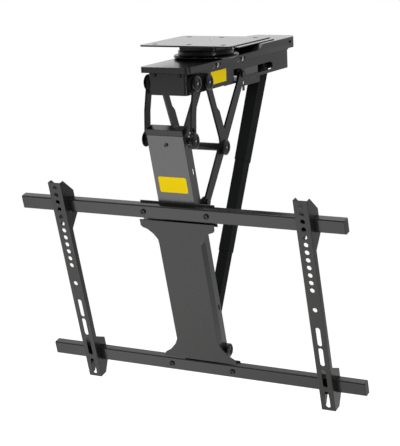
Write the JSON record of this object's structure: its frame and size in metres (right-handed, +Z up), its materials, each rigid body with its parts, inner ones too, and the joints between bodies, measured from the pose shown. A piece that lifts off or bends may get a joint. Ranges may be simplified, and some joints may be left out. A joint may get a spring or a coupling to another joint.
{
  "type": "motorised flip-down television ceiling mount",
  "caption": "Ceiling television mount with a swivelling housing, a motor-driven folding linkage, a telescopic strut and a rail frame with slotted arms for the screen.",
  "frame": {"origin": "centre of the ceiling plate's top face, on the swivel axis", "axes": "+Z up into the ceiling, +X to the right seen from the screen side, +Y to the rear, away from the viewer"},
  "size_m": [0.696, 0.4824, 0.6855],
  "materials": {
    "plate_grey": "satin powder coat",
    "black_coat": "satin powder coat",
    "dark_coat": "satin powder coat",
    "grey_coat": "satin powder coat",
    "rail_coat": "gloss powder coat",
    "deep_black": "semi-matt coat",
    "zinc": "zinc plated",
    "black_plastic": "fine grain",
    "yellow_label": "printed film"
  },
  "bodies": {
    "ceiling_mount": {"ceiling_plate": "plate_grey", "plate_screws": "zinc", "swivel_neck": "dark_coat", "swivel_disc": "black_coat", "swivel_pin": "dark_coat"},
    "housing": {"swivel_dish": "black_coat", "lid": "plate_grey", "lid_strip": "plate_grey", "lid_bolts": "zinc", "box": "dark_coat", "front_screws": "black_coat", "pivot_plates": "deep_black", "pivot_caps": "black_coat", "side_label": "yellow_label", "slide_rails": "plate_grey", "gearmotor": "deep_black", "control_box": "black_plastic", "power_inlet": "black_plastic", "strut_guides": "grey_coat", "cable_bracket": "plate_grey"},
    "screw": {"lead_screw": "zinc"},
    "cranks": {"crank_left": "dark_coat", "crank_right": "dark_coat", "cross_shaft": "zinc", "cross_tube": "dark_coat", "crank_caps": "black_coat"},
    "long_arms": {"long_arm_left": "dark_coat", "long_arm_right": "dark_coat", "slide_shaft": "black_coat"},
    "drive_carriage": {"carriage": "grey_coat"},
    "front_links": {"front_link_left": "black_coat", "front_link_right": "black_coat", "link_studs": "black_coat", "link_shaft": "black_coat", "link_caps": "black_coat"},
    "column": {"column_upper": "grey_coat", "column_lower": "grey_coat", "top_flange": "dark_coat", "cover_plate": "dark_coat", "rail_top": "rail_coat", "rail_bottom": "rail_coat", "rail_caps": "black_plastic", "rail_bolts": "black_coat", "column_screws": "black_coat", "column_label": "yellow_label", "foot_shaft": "black_coat", "hub_shaft": "zinc", "hub_caps": "black_coat"},
    "strut_low": {"strut_foot": "deep_black", "strut_lower": "deep_black"},
    "strut_mid": {"strut_middle": "deep_black"},
    "strut_top": {"strut_upper": "deep_black", "strut_pin": "zinc"},
    "arm_left": {"tv_arm_left": "dark_coat", "arm_lock_left": "black_plastic"},
    "arm_right": {"tv_arm_right": "dark_coat", "arm_lock_right": "black_plastic"}
  },
  "joints": [
    {"name": "swivel", "type": "hinge", "parent": "ceiling_mount", "child": "housing", "pos_m": [0, 0, -0.024], "axis": [0, 0, 1], "range_deg": [-45, 45]},
    {"name": "fold", "type": "hinge", "parent": "housing", "child": "cranks", "pos_m": [0, -0.089, -0.066], "axis": [1, 0, 0], "range_deg": [0, 40.54]},
    {"name": "arm_pivot", "type": "hinge", "parent": "cranks", "child": "long_arms", "pos_m": [0, -0.032, -0.199], "axis": [1, 0, 0], "range_deg": [-72.4, 0]},
    {"name": "carriage_level", "type": "hinge", "parent": "long_arms", "child": "drive_carriage", "pos_m": [0, 0.062, -0.07], "axis": [1, 0, 0], "range_deg": [0, 31.9]},
    {"name": "column_pivot", "type": "hinge", "parent": "long_arms", "child": "column", "pos_m": [0, -0.10034, -0.29278], "axis": [1, 0, 0], "range_deg": [0, 88.2]},
    {"name": "front_link_pivot", "type": "hinge", "parent": "housing", "child": "front_links", "pos_m": [0, -0.135, -0.063], "axis": [1, 0, 0], "range_deg": [-29.1, 0]},
    {"name": "strut_foot_pivot", "type": "hinge", "parent": "column", "child": "strut_low", "pos_m": [0, -0.04, -0.604], "axis": [1, 0, 0], "range_deg": [-32, 0]},
    {"name": "strut_mid_slide", "type": "slide", "parent": "strut_low", "child": "strut_mid", "axis": [0, -0.4511, -0.8925], "range_m": [0, 0.1869]},
    {"name": "strut_top_slide", "type": "slide", "parent": "strut_mid", "child": "strut_top", "axis": [0, -0.4511, -0.8925], "range_m": [0, 0.1869]},
    {"name": "screw_spin", "type": "hinge", "parent": "housing", "child": "screw", "pos_m": [0, 0.08, -0.054], "axis": [0, 1, 0], "range_deg": [0, 2290]},
    {"name": "left_arm_slide", "type": "slide", "parent": "column", "child": "arm_left", "axis": [1, 0, 0], "range_m": [-0.075, 0.146]},
    {"name": "right_arm_slide", "type": "slide", "parent": "column", "child": "arm_right", "axis": [1, 0, 0], "range_m": [-0.17, 0.052]}
  ],
  "couplings": [
    {"joint": "arm_pivot", "follows": "fold", "ratio": -1.7852},
    {"joint": "carriage_level", "follows": "fold", "ratio": 0.78516},
    {"joint": "column_pivot", "follows": "fold", "ratio": 2.1749},
    {"joint": "front_link_pivot", "follows": "fold", "ratio": -0.71731},
    {"joint": "strut_foot_pivot", "follows": "fold", "ratio": -0.78925},
    {"joint": "strut_mid_slide", "follows": "fold", "m_per_rad": 0.26403},
    {"joint": "strut_top_slide", "follows": "fold", "m_per_rad": 0.26403},
    {"joint": "screw_spin", "follows": "fold", "ratio": 56.25}
  ]
}
